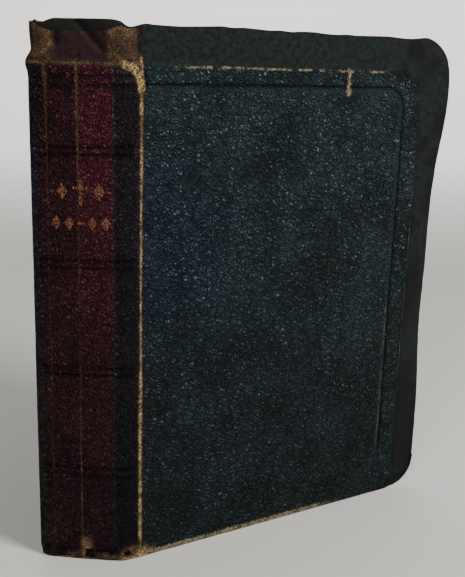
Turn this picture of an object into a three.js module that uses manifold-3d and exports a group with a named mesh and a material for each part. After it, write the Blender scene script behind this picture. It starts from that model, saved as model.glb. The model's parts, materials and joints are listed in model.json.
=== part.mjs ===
// A limp leather Bible with overhanging edges, standing on its tail with the front cover ajar.
// Units are millimetres. +Z is the height, +X runs from the spine to the fore-edge, and the
// front cover faces -Y when it is closed. The origin lies on the table plane, under the spine.

import * as THREE from 'three';
import { mergeVertices } from 'three/addons/utils/BufferGeometryUtils.js';
import Module from 'manifold-3d';

// ---- Driving dimensions ----
const BOARD_HEIGHT = 182;            // cover board, tail to head, and the height of the spine fold
const BOARD_WIDTH = 123;             // joint line to the board's fore-edge
const SPINE_WIDTH = 38;              // joint line to joint line
const HEAD_FLANGE = 13;              // leather standing above the boards
const FORE_FLANGE = 12.2;            // leather past the boards' fore-edge
const TAIL_FLAP = 12;                // leather folded under the tail
const LEATHER = 1.0;
const FLANGE_LINING = 0.8;
const BOARD = 1.8;
const ENDPAPER = 0.4;
const CLEARANCE = 0.3;               // gap between pieces that touch

const SPINE_FACE_X = -6;             // flat outer face of the spine
const SHOULDER_DEPTH = 3;            // how far the rounded shoulders fall back to the joints
const SHOULDER_WIDTH = 7;
const CENTRE_CREASE_Y = 2;           // where the spine folds when the book opens at the middle
const REAR_CREASE_Y = 11.5;          // where it folds near the back
const CREASE_GAP = 0.3;

const TEXT_SPINE_X = -2;             // back of the sewn gatherings
const TEXT_WIDTH = 118;
const TEXT_THICKNESS = 28.2;
const TEXT_TAIL_Z = 4.5;
const TEXT_HEIGHT = 173;
const PAGE_CORNER = 6;               // rounded corners of the pages
const COVER_CORNER = 12;             // rounded corners of the overhanging leather

const COVER_AJAR = THREE.MathUtils.degToRad(55);
const FLYLEAF_SHARE = 0.5;           // the free endpaper follows its cover half of the way

// ---- Derived sizes ----
const TOTAL_HEIGHT = BOARD_HEIGHT + HEAD_FLANGE;
const HALF_SPINE = SPINE_WIDTH / 2;
const HALF_TEXT = TEXT_THICKNESS / 2;
const FLAT_HALF = HALF_SPINE - SHOULDER_WIDTH;
const JOINT_X = SPINE_FACE_X + SHOULDER_DEPTH;
const COVER_INNER = LEATHER + CLEARANCE;
const FLAP_SIDE_CLEARANCE = LEATHER + CLEARANCE + 0.2;   // room for the covers to turn past
const FLYLEAF_PIVOT = { x: TEXT_SPINE_X + 0.5, y: HALF_TEXT + CLEARANCE + ENDPAPER / 2 };

// ---- Colours ----
const COVER_LEATHER = { color: 0x172428, roughness: 0.45, metalness: 0 };
const SPINE_LEATHER = { color: 0x33121c, roughness: 0.5, metalness: 0 };
const LINING_LEATHER = { color: 0x1f2f2b, roughness: 0.6, metalness: 0 };
const CARD = { color: 0x8a7a5e, roughness: 0.9, metalness: 0 };
const PAPER = { color: 0xd9ccab, roughness: 0.9, metalness: 0 };
const PAGES = { color: 0xcdbb90, roughness: 0.85, metalness: 0 };
const CLOTH = { color: 0xb7a98a, roughness: 0.95, metalness: 0 };
const SILK = { color: 0x7a2f2a, roughness: 0.7, metalness: 0 };

const wasm = await Module();
wasm.setup();

// ---- Geometry helpers ----

function toSolid(geometry) {
  const bare = geometry.clone();
  bare.deleteAttribute('normal');
  bare.deleteAttribute('uv');
  const merged = mergeVertices(bare, 1e-5);
  return new wasm.Manifold(new wasm.Mesh({
    numProp: 3,
    vertProperties: new Float32Array(merged.attributes.position.array),
    triVerts: new Uint32Array(merged.index.array),
  }));
}

function toGeometry(solid) {
  const mesh = solid.getMesh();
  const geometry = new THREE.BufferGeometry();
  geometry.setAttribute('position', new THREE.BufferAttribute(mesh.vertProperties, 3));
  geometry.setIndex(new THREE.BufferAttribute(mesh.triVerts, 1));
  geometry.computeVertexNormals();
  return geometry;
}

function join(first, second) {
  return toGeometry(toSolid(first).add(toSolid(second)));
}

// A box given by its lowest and highest corners.
function block(low, high) {
  const size = high.map((value, i) => value - low[i]);
  const geometry = new THREE.BoxGeometry(...size);
  geometry.translate(...high.map((value, i) => (value + low[i]) / 2));
  return geometry;
}

// An upright sheet in the XZ plane whose far corners, at high x, are rounded.
function uprightSheet({ x0, x1, z0, z1, y0, thickness, corner }) {
  const outline = new THREE.Shape();
  outline.moveTo(x0, z0);
  if (corner > 0) {
    outline.lineTo(x1 - corner, z0);
    outline.absarc(x1 - corner, z0 + corner, corner, -Math.PI / 2, 0, false);
    outline.lineTo(x1, z1 - corner);
    outline.absarc(x1 - corner, z1 - corner, corner, 0, Math.PI / 2, false);
  } else {
    outline.lineTo(x1, z0);
    outline.lineTo(x1, z1);
  }
  outline.lineTo(x0, z1);
  outline.closePath();
  const geometry = new THREE.ExtrudeGeometry(outline, {
    depth: thickness, bevelEnabled: false, curveSegments: 7,
  });
  geometry.rotateX(Math.PI / 2);
  geometry.translate(0, y0 + thickness, 0);
  return geometry;
}

// The spine's plan at one offset inside its outer face, from yFrom up to yTo.
function spinePlan(yFrom, yTo, inset) {
  const depth = SHOULDER_DEPTH - inset;
  const width = SHOULDER_WIDTH - inset;
  const points = [];
  const steps = 6;
  const rounded = (side, i) => {
    const turn = (i / steps) * (Math.PI / 2);
    const x = JOINT_X - depth * Math.cos(turn);
    const y = side * (FLAT_HALF + width * Math.sin(turn));
    return new THREE.Vector2(x, y);
  };
  if (yFrom <= -HALF_SPINE) {
    for (let i = steps; i >= 0; i -= 1) {
      points.push(rounded(-1, i));
    }
  } else {
    points.push(new THREE.Vector2(JOINT_X - depth, yFrom));
  }
  if (yTo >= HALF_SPINE) {
    for (let i = 0; i <= steps; i += 1) {
      points.push(rounded(1, i));
    }
  } else {
    points.push(new THREE.Vector2(JOINT_X - depth, yTo));
  }
  return points;
}

// A strip of the spine leather: the upright wall and the flap folded under the tail.
function spineLeather(yFrom, yTo) {
  const outer = spinePlan(yFrom, yTo, 0);
  const inner = spinePlan(yFrom, yTo, LEATHER).reverse();
  const wallPlan = new THREE.Shape([...outer, ...inner]);
  const wall = new THREE.ExtrudeGeometry(wallPlan, { depth: TOTAL_HEIGHT, bevelEnabled: false });
  const flapEnd = SPINE_FACE_X + TAIL_FLAP;
  const flapLow = Math.max(yFrom, FLAP_SIDE_CLEARANCE - HALF_SPINE);
  const flapHigh = Math.min(yTo, HALF_SPINE - FLAP_SIDE_CLEARANCE);
  const flapPlan = new THREE.Shape([
    ...outer,
    new THREE.Vector2(JOINT_X, flapHigh),
    new THREE.Vector2(flapEnd, flapHigh),
    new THREE.Vector2(flapEnd, flapLow),
    new THREE.Vector2(JOINT_X, flapLow),
  ]);
  const flap = new THREE.ExtrudeGeometry(flapPlan, { depth: LEATHER, bevelEnabled: false });
  return join(wall, flap);
}

function endband(yFrom, yTo, z) {
  const radius = 1.2;
  const geometry = new THREE.CylinderGeometry(radius, radius, yTo - yFrom, 12);
  geometry.translate(TEXT_SPINE_X + radius / 2, (yFrom + yTo) / 2, z);
  return geometry;
}

// ---- Assembly helpers ----

function piece(name, geometry, look) {
  const mesh = new THREE.Mesh(geometry, new THREE.MeshStandardMaterial(look));
  mesh.name = name;
  return mesh;
}

// Gatherings of folded leaves, side by side, filling yFrom to yTo.
function gatherings(firstNumber, count, yFrom, yTo) {
  const pitch = (yTo - yFrom + CLEARANCE) / count;
  const made = [];
  for (let i = 0; i < count; i += 1) {
    made.push(piece(`gathering_${firstNumber + i}`, uprightSheet({
      x0: TEXT_SPINE_X,
      x1: TEXT_SPINE_X + TEXT_WIDTH,
      z0: TEXT_TAIL_Z,
      z1: TEXT_TAIL_Z + TEXT_HEIGHT,
      y0: yFrom + i * pitch,
      thickness: pitch - CLEARANCE,
      corner: PAGE_CORNER,
    }), PAGES));
  }
  return made;
}

const TEXT_HEAD_Z = TEXT_TAIL_Z + TEXT_HEIGHT;
const LINING_X = SPINE_FACE_X + LEATHER + CLEARANCE;
const HEAD_LINING_FOOT = TEXT_HEAD_Z - 4;
const HEAD_LINING_TOP = TOTAL_HEIGHT + 1.5;
const TAPE_COUNT = 4;
const TAPE_WIDTH = 10;

// Everything glued and sewn between two folds of the spine: leather, linings, tapes and bands.
function spineGroup({ suffix, yFrom, yTo, hasLinings }) {
  const group = new THREE.Group();
  const low = yFrom <= -HALF_SPINE ? yFrom : yFrom + CREASE_GAP / 2;
  const high = yTo >= HALF_SPINE ? yTo : yTo - CREASE_GAP / 2;
  const innerLow = Math.max(low, -HALF_TEXT);
  const innerHigh = Math.min(high, HALF_TEXT);
  const mullX = TEXT_SPINE_X - CLEARANCE * 2 - 0.9;
  group.add(piece(`spine_leather_${suffix}`, spineLeather(low, high), SPINE_LEATHER));
  group.add(piece(`mull_${suffix}`,
    block([mullX, innerLow, TEXT_TAIL_Z + 6], [mullX + 0.5, innerHigh, TEXT_HEAD_Z - 6]), CLOTH));
  group.add(piece(`headband_${suffix}`,
    endband(innerLow, innerHigh, TEXT_HEAD_Z + 1.5), SILK));
  group.add(piece(`tailband_${suffix}`,
    endband(innerLow, innerHigh, TEXT_TAIL_Z - 1.5), SILK));
  if (hasLinings) {
    const flatLow = Math.max(innerLow, -FLAT_HALF);
    group.add(piece(`spine_lining_${suffix}`,
      block([LINING_X, flatLow, 2.5], [LINING_X + 0.6, innerHigh, HEAD_LINING_FOOT - 1]), CARD));
    group.add(piece(`head_lining_${suffix}`,
      block([LINING_X, flatLow, HEAD_LINING_FOOT],
        [LINING_X + FLANGE_LINING, innerHigh, HEAD_LINING_TOP]), LINING_LEATHER));
    for (let i = 0; i < TAPE_COUNT; i += 1) {
      const z = TEXT_TAIL_Z + (TEXT_HEIGHT * (i + 0.7)) / (TAPE_COUNT + 0.4);
      group.add(piece(`tape_${suffix}_${i + 1}`,
        block([TEXT_SPINE_X - 0.7, innerLow, z - TAPE_WIDTH / 2],
          [TEXT_SPINE_X - 0.3, innerHigh, z + TAPE_WIDTH / 2]), CLOTH));
    }
  }
  return group;
}

const FLAP_FOLD_X = BOARD_WIDTH + 0.5;
const FLAP_FOLD_Y = COVER_INNER + FLANGE_LINING + 0.1;

// One cover in its own frame: joint line at x = 0, outer face at y = 0, inside towards +y.
// Turning it over about the X-Z plane gives the other cover.
function cover(side) {
  const mirror = (geometry) => {
    if (side === 'front') {
      return geometry;
    }
    geometry.scale(1, -1, 1);
    const order = geometry.index ?? new THREE.BufferAttribute(
      Uint32Array.from({ length: geometry.attributes.position.count }, (_, i) => i), 1);
    const flipped = new Uint32Array(order.count);
    for (let i = 0; i < order.count; i += 3) {
      flipped.set([order.getX(i), order.getX(i + 2), order.getX(i + 1)], i);
    }
    geometry.setIndex(new THREE.BufferAttribute(flipped, 1));
    geometry.computeVertexNormals();
    return geometry;
  };
  const panel = uprightSheet({
    x0: CLEARANCE, x1: FLAP_FOLD_X - CREASE_GAP / 2, z0: 0, z1: TOTAL_HEIGHT,
    y0: 0, thickness: LEATHER, corner: 0,
  });
  const tailFlap = block([TAIL_FLAP + 2, 0, 0], [FLAP_FOLD_X - 2, TAIL_FLAP, LEATHER]);
  const board = uprightSheet({
    x0: 2, x1: BOARD_WIDTH - 0.5, z0: LEATHER + CLEARANCE, z1: BOARD_HEIGHT,
    y0: COVER_INNER, thickness: BOARD, corner: 5,
  });
  const pastedown = uprightSheet({
    x0: 2.5, x1: BOARD_WIDTH - 3.5, z0: 4, z1: BOARD_HEIGHT - 3,
    y0: COVER_INNER + BOARD + CLEARANCE, thickness: ENDPAPER, corner: 5,
  });
  const headLining = uprightSheet({
    x0: CLEARANCE * 2, x1: FLAP_FOLD_X - CREASE_GAP, z0: BOARD_HEIGHT + CLEARANCE,
    z1: TOTAL_HEIGHT - 0.8, y0: COVER_INNER, thickness: FLANGE_LINING, corner: 0,
  });
  const flapEnd = FLAP_FOLD_X + FORE_FLANGE;
  const flapLeather = uprightSheet({
    x0: FLAP_FOLD_X + CREASE_GAP / 2, x1: flapEnd, z0: 0.6, z1: TOTAL_HEIGHT,
    y0: 0, thickness: LEATHER, corner: COVER_CORNER,
  });
  const flapLining = uprightSheet({
    x0: FLAP_FOLD_X + CREASE_GAP / 2, x1: flapEnd - 0.8, z0: 1.4, z1: TOTAL_HEIGHT - 0.8,
    y0: COVER_INNER, thickness: FLANGE_LINING, corner: COVER_CORNER - 0.8,
  });
  const group = new THREE.Group();
  group.add(piece(`${side}_cover_leather`, mirror(join(panel, tailFlap)), COVER_LEATHER));
  group.add(piece(`${side}_board`, mirror(board), CARD));
  group.add(piece(`${side}_pastedown`, mirror(pastedown), PAPER));
  group.add(piece(`${side}_head_lining`, mirror(headLining), LINING_LEATHER));
  group.add(piece(`${side}_flap_leather`, mirror(flapLeather), COVER_LEATHER));
  group.add(piece(`${side}_flap_lining`, mirror(flapLining), LINING_LEATHER));
  return group;
}

// A free endpaper in its own frame, hinged at x = 0.
function flyleaf(side) {
  return piece(`${side}_flyleaf`, uprightSheet({
    x0: 0.4, x1: TEXT_WIDTH - 1, z0: TEXT_TAIL_Z, z1: TEXT_HEAD_Z,
    y0: -ENDPAPER / 2, thickness: ENDPAPER, corner: PAGE_CORNER,
  }), PAPER);
}

// ---- The Bible ----
const bible = new THREE.Group();

const frontBlock = spineGroup({
  suffix: 'front', yFrom: -HALF_SPINE, yTo: CENTRE_CREASE_Y, hasLinings: true,
});
frontBlock.add(...gatherings(1, 4, -HALF_TEXT, CENTRE_CREASE_Y - CLEARANCE));

const middleBlock = spineGroup({
  suffix: 'middle', yFrom: CENTRE_CREASE_Y, yTo: REAR_CREASE_Y, hasLinings: true,
});
middleBlock.add(...gatherings(5, 2, CENTRE_CREASE_Y + CLEARANCE, REAR_CREASE_Y - CLEARANCE));

const rearBlock = spineGroup({
  suffix: 'rear', yFrom: REAR_CREASE_Y, yTo: HALF_SPINE, hasLinings: false,
});
rearBlock.add(...gatherings(7, 1, REAR_CREASE_Y + CLEARANCE, HALF_TEXT));

const frontCover = cover('front');
frontCover.position.set(JOINT_X, -HALF_SPINE, 0);
frontCover.rotation.z = -COVER_AJAR;

const backCover = cover('back');
backCover.position.set(JOINT_X, HALF_SPINE, 0);

const frontFlyleaf = flyleaf('front');
frontFlyleaf.position.set(FLYLEAF_PIVOT.x, -FLYLEAF_PIVOT.y, 0);
frontFlyleaf.rotation.z = -COVER_AJAR * FLYLEAF_SHARE;

const backFlyleaf = flyleaf('back');
backFlyleaf.position.set(FLYLEAF_PIVOT.x, FLYLEAF_PIVOT.y, 0);

bible.add(frontBlock, middleBlock, rearBlock, frontCover, backCover, frontFlyleaf, backFlyleaf);

export default bible;
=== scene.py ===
import json
import math

import bpy
import numpy as np
from mathutils import Matrix, Vector


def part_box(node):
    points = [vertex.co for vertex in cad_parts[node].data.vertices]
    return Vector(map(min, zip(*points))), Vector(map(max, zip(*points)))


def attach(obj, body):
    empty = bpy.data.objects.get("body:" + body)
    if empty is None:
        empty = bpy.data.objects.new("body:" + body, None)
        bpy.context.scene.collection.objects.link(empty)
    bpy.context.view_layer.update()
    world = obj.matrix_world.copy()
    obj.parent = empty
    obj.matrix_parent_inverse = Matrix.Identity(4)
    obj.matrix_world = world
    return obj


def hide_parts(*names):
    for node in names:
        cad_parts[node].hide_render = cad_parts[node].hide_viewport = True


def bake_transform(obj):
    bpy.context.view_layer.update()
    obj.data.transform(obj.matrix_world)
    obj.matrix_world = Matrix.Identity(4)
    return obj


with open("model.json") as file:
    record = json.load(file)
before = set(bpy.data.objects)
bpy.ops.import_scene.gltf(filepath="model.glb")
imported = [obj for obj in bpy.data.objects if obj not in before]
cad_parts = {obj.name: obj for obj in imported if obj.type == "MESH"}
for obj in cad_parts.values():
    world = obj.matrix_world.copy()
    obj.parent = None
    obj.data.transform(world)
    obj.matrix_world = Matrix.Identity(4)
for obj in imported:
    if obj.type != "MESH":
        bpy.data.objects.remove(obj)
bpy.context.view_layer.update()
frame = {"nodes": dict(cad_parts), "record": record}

# The looks of a limp leather Bible. Sizes in the maths below are millimetres, as on the bench;
# mesh points are turned to metres when a mesh is made.

MM = 0.001
TO_MM = 1000.0


def cad_box(node):
    low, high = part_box(node)
    return np.array(low) * TO_MM, np.array(high) * TO_MM


def hinge(name):
    for joint in frame["record"]["behaviour"]["joints"]:
        if joint["name"] == name:
            return joint
    raise KeyError(name)


def hinge_mm(name):
    return np.array(hinge(name)["pos_m"]) * TO_MM


# ---- Sizes taken from the frame ----
FRONT_JOINT = hinge_mm("front_cover_hinge")
BACK_JOINT = hinge_mm("back_cover_hinge")
CENTRE_CREASE = hinge_mm("centre_crease")
REAR_CREASE = hinge_mm("rear_crease")
AJAR = math.radians(-hinge("front_cover_hinge")["range_deg"][0])
SPINE_X = cad_box("spine_leather_middle")[0][0]
TOP_Z = cad_box("back_cover_leather")[1][2]
BOARD_TOP = cad_box("back_board")[1][2]
BOARD_EDGE = cad_box("back_board")[1][0] - BACK_JOINT[0] + 0.5
COVER_END = cad_box("back_flap_leather")[1][0] - BACK_JOINT[0]
FLAP_FOLD = hinge_mm("back_flap_crease")[0] - BACK_JOINT[0]
TEXT_LOW, TEXT_HIGH = cad_box("gathering_1")
TEXT_BACK_Y = cad_box("gathering_7")[1][1]

SHOULDER = 7.0                # from the spine's flat to a joint
HALF_SPINE = -FRONT_JOINT[1]
FLAT = HALF_SPINE - SHOULDER
CORNER = 12.0                 # rounded corner of the overhanging leather
TAIL_FOLD = 1.2               # radius of the leather folded under the tail
FOLD_ARC = TAIL_FOLD * math.pi / 2
TAIL_FLAP = 10.5              # greatest width of the leather folded under
SPINE_BULGE = 0.9
LEATHER = 1.0                 # thickness
MESH_PITCH = 0.8              # spacing of mesh points on the leather
SPINE_STEPS = 40              # points of the plan along half of the spine's flat
SHOULDER_STEPS = 30           # and round a shoulder
PAGE_CORNER = 6.0

UV_SPAN = 400.0               # millimetres of leather that one unit of UV stands for


# ---- Repeatable noise ----

def hashed(ix, iy, seed):
    value = np.sin(ix * 127.1 + iy * 311.7 + seed * 74.7) * 43758.5453
    return value - np.floor(value)


def value_noise(x, y, pitch, seed):
    """Smooth noise from 0 to 1 with bumps about one pitch apart."""
    x = np.asarray(x, float) / pitch
    y = np.asarray(y, float) / pitch
    ix, iy = np.floor(x), np.floor(y)
    fx, fy = x - ix, y - iy
    fx, fy = fx * fx * (3 - 2 * fx), fy * fy * (3 - 2 * fy)
    low = hashed(ix, iy, seed) * (1 - fx) + hashed(ix + 1, iy, seed) * fx
    high = hashed(ix, iy + 1, seed) * (1 - fx) + hashed(ix + 1, iy + 1, seed) * fx
    return low * (1 - fy) + high * fy


def bumps(x, y, pitch, seed):
    """Smooth noise from -0.5 to 0.5."""
    return value_noise(x, y, pitch, seed) - 0.5


def layered_noise(x, y, pitch, seed, layers=3):
    total, weight = 0.0, 0.0
    for i in range(layers):
        share = 0.5 ** i
        total = total + share * value_noise(x, y, pitch * share, seed + i)
        weight += share
    return total / weight


def smooth(low, high, value):
    t = np.clip((value - low) / (high - low), 0, 1)
    return t * t * (3 - 2 * t)


def line(value, centre, half_width):
    """1 on a line, fading to 0 about a half width away."""
    return np.exp(-((value - centre) / half_width) ** 2)


def band(value, low, high, blur):
    return smooth(low - blur, low + blur, value) * (1 - smooth(high - blur, high + blur, value))


# ---- The case as one sheet of leather ----
# s runs along the leather from the back fore-edge, round the spine, to the front fore-edge, with
# s = 0 at the middle of the spine. q runs up it, with q = 0 where the tail flap meets its fold.

def spine_x(y):
    """The spine is slightly rounded outwards between the joints."""
    return SPINE_X - SPINE_BULGE * (1 - (y / HALF_SPINE) ** 2)


def plan_half(side):
    """Points of the plan from the middle of the spine to a cover's fore-edge."""
    sign = -1 if side == "front" else 1
    points = [(spine_x(y), sign * y) for y in np.linspace(0, FLAT, SPINE_STEPS)]
    if side == "front":
        # The shoulder is a cubic curve that leaves the spine squarely and meets the cover.
        heading = np.array([math.cos(AJAR), -math.sin(AJAR)])
        joint = FRONT_JOINT[:2]
        start = np.array(points[-1])
        arriving = AJAR + 0.12
        lean = np.array([math.cos(arriving), -math.sin(arriving)])
        first = start + np.array([0.05, -1.0]) * SHOULDER * 0.45
        last = joint - lean * SHOULDER * 0.4
        for t in np.linspace(0, 1, SHOULDER_STEPS)[1:]:
            u = 1 - t
            point = u ** 3 * start + 3 * u * u * t * first + 3 * u * t * t * last + t ** 3 * joint
            points.append(tuple(point))
    else:
        # The shoulder is a quarter of an ellipse.
        heading = np.array([1.0, 0.0])
        joint = BACK_JOINT[:2]
        depth = joint[0] - points[-1][0]
        for t in np.linspace(0, math.pi / 2, SHOULDER_STEPS)[1:]:
            points.append((joint[0] - depth * math.cos(t), FLAT + SHOULDER * math.sin(t)))
    for d in np.linspace(0, COVER_END + 8, 260)[1:]:
        points.append(tuple(joint + heading * d))
    return np.array(points)


def lengths_along(points):
    steps = np.hypot(*np.diff(points, axis=0).T)
    return np.concatenate([[0], np.cumsum(steps)])


FRONT_PLAN, BACK_PLAN = plan_half("front"), plan_half("back")
FRONT_S, BACK_S = lengths_along(FRONT_PLAN), lengths_along(BACK_PLAN)
PLAN_S = np.concatenate([-BACK_S[:0:-1], FRONT_S])
PLAN = np.concatenate([BACK_PLAN[:0:-1], FRONT_PLAN])
JOINT_INDEX = SPINE_STEPS + SHOULDER_STEPS - 2
FRONT_JOINT_S = FRONT_S[JOINT_INDEX]
BACK_JOINT_S = -BACK_S[JOINT_INDEX]
CENTRE_S = -CENTRE_CREASE[1]
REAR_S = -REAR_CREASE[1]


def plan_point(s):
    """The plan's X and Y at s, and its outward normal there."""
    x = np.interp(s, PLAN_S, PLAN[:, 0])
    y = np.interp(s, PLAN_S, PLAN[:, 1])
    step = 0.6
    dx = np.interp(s + step, PLAN_S, PLAN[:, 0]) - np.interp(s - step, PLAN_S, PLAN[:, 0])
    dy = np.interp(s + step, PLAN_S, PLAN[:, 1]) - np.interp(s - step, PLAN_S, PLAN[:, 1])
    length = np.hypot(dx, dy)
    return x, y, dy / length, -dx / length


def over_cover(s):
    """Distance past the nearer joint, negative on the spine."""
    return np.maximum(s - FRONT_JOINT_S, BACK_JOINT_S - s)


def rounded_inside(x, z, x0, x1, z0, z1, radius):
    """Distance inside a rounded rectangle, negative outside it."""
    qx = np.abs(x - (x0 + x1) / 2) - ((x1 - x0) / 2 - radius)
    qz = np.abs(z - (z0 + z1) / 2) - ((z1 - z0) / 2 - radius)
    outside = np.hypot(np.maximum(qx, 0), np.maximum(qz, 0))
    return radius - outside - np.minimum(np.maximum(qx, qz), 0)


def corner_cut(x):
    """How far the rounded corner of the overhang eats into the height at x past the joint."""
    run = np.clip(x - (COVER_END - CORNER), 0, CORNER)
    return CORNER - np.sqrt(np.maximum(CORNER ** 2 - run ** 2, 0))


def top_edge(s):
    """Height of the leather's upper edge: wavy, and lower where the spine's flange has crumpled."""
    x = over_cover(s)
    wave = 0.9 * bumps(s, 0, 17, 31) + 0.5 * bumps(s, 0, 5, 32)
    dip = 2.6 * (1 - smooth(-6, 4, x)) - 1.6 * line(s, 12.5, 3.0) - 1.4 * line(s, BACK_JOINT_S + 3, 4)
    sag = 0.9 * line(x, FLAP_FOLD - 8, 8)
    return TOP_Z - 0.3 - corner_cut(x) + wave - dip - sag


def bottom_edge(s):
    """How far the leather's foot rises: past the flap's crease, and round the overhang's corner."""
    x = over_cover(s)
    return 0.5 * smooth(FLAP_FOLD - 4, FLAP_FOLD, x) + corner_cut(x)


def flap_depth(s):
    """Width of the leather folded under the tail, notched at every fold and mitred at the joints."""
    x = np.abs(over_cover(s))
    depth = 1.0 + 0.85 * x
    for crease in (CENTRE_S, REAR_S):
        depth = np.minimum(depth, 1.0 + 1.6 * np.abs(s - crease))
    depth = np.minimum(depth, TAIL_FLAP)
    return depth * (1 - smooth(FLAP_FOLD - 5, FLAP_FOLD - 2.5, over_cover(s))) + 0.4


# ---- Wear and relief of the outside of the case ----

TOOLED_RULES = (177.2, 174.2, 154.3, 151.6, 115.5, 112.8, 76.6, 73.9, 38.0, 35.0, 4.6)
SPINE_TOP = BOARD_TOP - 0.5           # the fold from which the spine's flange stands up
BEYOND = -60.0                        # a side of a rounded rectangle that is out of the way
FILLET = 6.6                          # from the edge of the tooled frame in to its line
MAROON_LOW_S, MAROON_HIGH_S = -16.2, 10.3
TEAR_S, TEAR_Z = FRONT_JOINT_S - 7.5, 174.2
KNOB_S, KNOB_Z = FRONT_JOINT_S - 1.8, 1.0
HOLE_S, HOLE_Z = FRONT_JOINT_S - 5.0, 3.2
SCUFF_X, SCUFF_Z = 86.6, 173.4
NICK_X, NICK_Z = 112.5, 154.7


class Leather:
    """What the wear and the relief depend on, for points of the leather at s and height z."""

    def __init__(self, s, z):
        self.s, self.z = s, z
        self.x = over_cover(s)
        self.front = s > 0
        self.on_cover = smooth(-1.0, 1.5, self.x)
        self.on_spine = 1 - self.on_cover
        self.board = rounded_inside(self.x, z, BEYOND, BOARD_EDGE, BEYOND, BOARD_TOP - 0.7, 11)
        self.tooled_frame = rounded_inside(self.x, z, BEYOND, BOARD_EDGE - 1.8, 0, BOARD_TOP, 15)
        self.flange = (1 - smooth(-0.9, 0.7, self.board)) * self.on_cover
        self.ragged = layered_noise(s, z, 2.2, 11)
        self.patchy = layered_noise(s, z, 11, 12)
        self.wobble = 0.7 * bumps(0, z, 25, 14)
        self.set_features()

    def set_features(self):
        """Features that show both as wear and as relief."""
        s, z = self.s, self.z
        self.centre = line(s, CENTRE_S + 0.4 * self.wobble, 0.55 + 0.5 * smooth(140, 175, z))
        self.centre *= 0.46 + 0.14 * smooth(120, 170, z) + 0.1 * smooth(70, 30, z)
        worn_foot = 0.8 * line(s, CENTRE_S + 1.5, 3.2) * smooth(16, 6, z)
        self.centre = np.maximum(self.centre, worn_foot)
        rear_width = 0.5 + 1.0 * smooth(155, 180, z) + 0.6 * smooth(25, 5, z)
        self.rear = line(s, REAR_S - 1 + 0.5 * self.wobble, rear_width)
        self.rear *= 0.43 + 0.08 * smooth(120, 170, z)
        self.from_tear = self.distance(TEAR_S, TEAR_Z, 1.0, 1.05)
        self.torn = band(self.from_tear, 5.6 + self.ragged, 8.4 + 1.2 * self.ragged, 0.5)
        self.torn *= smooth(TEAR_S - 1, TEAR_S + 1.5, s) * smooth(171, 174, z)
        self.knob = line(self.distance(KNOB_S, KNOB_Z, 1 / 1.6), 0, 5.6)

    def distance(self, s, z, s_scale, z_scale=1.0):
        return np.hypot((self.s - s) * s_scale, (self.z - z) * z_scale)


def fold_wear(at):
    """Wear along the joints and down the spine's creases."""
    s, z = at.s, at.z
    width = 0.42 + 0.3 * value_noise(0, z, 9, 13) + 0.5 * band(z, 2, 72, 12)
    width += 0.35 * smooth(158, 172, z) + 0.14 * smooth(90, 130, z)
    front_joint = line(s - FRONT_JOINT_S, 0.5 * at.wobble, width)
    front_joint *= 0.8 + 0.5 * (value_noise(0, z, 2.6, 16) - 0.35)
    front_joint *= 1 - smooth(183, 186, z) * at.front
    back_joint = 0.8 * line(s, BACK_JOINT_S - 0.5 + at.wobble, width * 0.8)
    creases = np.maximum(at.centre, at.rear) * (1 - 0.7 * smooth(BOARD_TOP, BOARD_TOP + 3, z))
    small_crease = 0.35 * line(s, 1.2 + at.wobble, 0.45) * band(z, 22, 48, 6)
    return [front_joint, back_joint, creases, small_crease]


def head_wear(at):
    """Wear on the flange's rim, on the spine's flange and its fold, and round the torn patch."""
    s, z = at.s, at.z
    rim = line(top_edge(s) - z, 0.2, 0.45) * smooth(2, 8, at.x)
    fold = line(z, SPINE_TOP, 1.3) * at.on_spine
    whole = 0.42 * band(s, -9, 7, 2.5) * smooth(0.35, 0.6, at.patchy + 0.012 * (192 - z))
    flange = smooth(SPINE_TOP, SPINE_TOP + 1.5, z) * (1 - smooth(-3.0, 4.5, at.x)) * (0.56 - whole)
    return [0.45 * rim, 0.62 * fold, flange, at.torn * (0.85 + 0.5 * at.ragged)]


def cover_wear(at):
    """Wear along the board's edges and the tooled frame, with a scuff and a nick on the front."""
    x, z = at.x, at.z
    top = line(at.board, 0.1, 0.6) * band(x, 10, 106, 8) * smooth(170, 178, z)
    top *= smooth(0.22, 0.55, at.ragged)
    scuff_width = 0.9 + 0.9 * line(z, SCUFF_Z, 1.5)
    scuff = line(x, SCUFF_X + 0.8 * (at.ragged - 0.5), scuff_width) * band(z, 171.6, 182.5, 0.8)
    frame_line = line(at.tooled_frame, 8.0, 0.5) * smooth(20, 70, x)
    frame_line *= smooth(108, 80, z) * smooth(12, 24, z)
    edge = line(at.board, -0.2, 0.55) * smooth(100, 115, x) * smooth(165, 140, z) * smooth(30, 60, z)
    nick = line(np.hypot((x - NICK_X) / 1.6, z - NICK_Z), 0, 0.9)
    return [
        (0.62 + 0.35 * at.patchy) * top,
        (0.22 + 0.42 * at.ragged) * frame_line * at.front,
        (0.55 + 0.4 * at.patchy) * edge,
        0.75 * scuff * at.front,
        0.6 * nick * at.front,
    ]


def tail_wear(at):
    """Wear where the leather folds under, and the rubbed knob at the foot of the front joint."""
    cover_fold = smooth(3.4, 2.2, at.z) * at.on_cover * smooth(108, 74, at.x)
    spine_fold = smooth(5.6, 2.4, at.z) * at.on_spine
    return [
        (0.42 + 0.3 * at.ragged) * cover_fold,
        (0.36 + 0.3 * at.ragged) * spine_fold,
        (0.75 + 0.5 * at.ragged) * at.knob,
    ]


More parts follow.
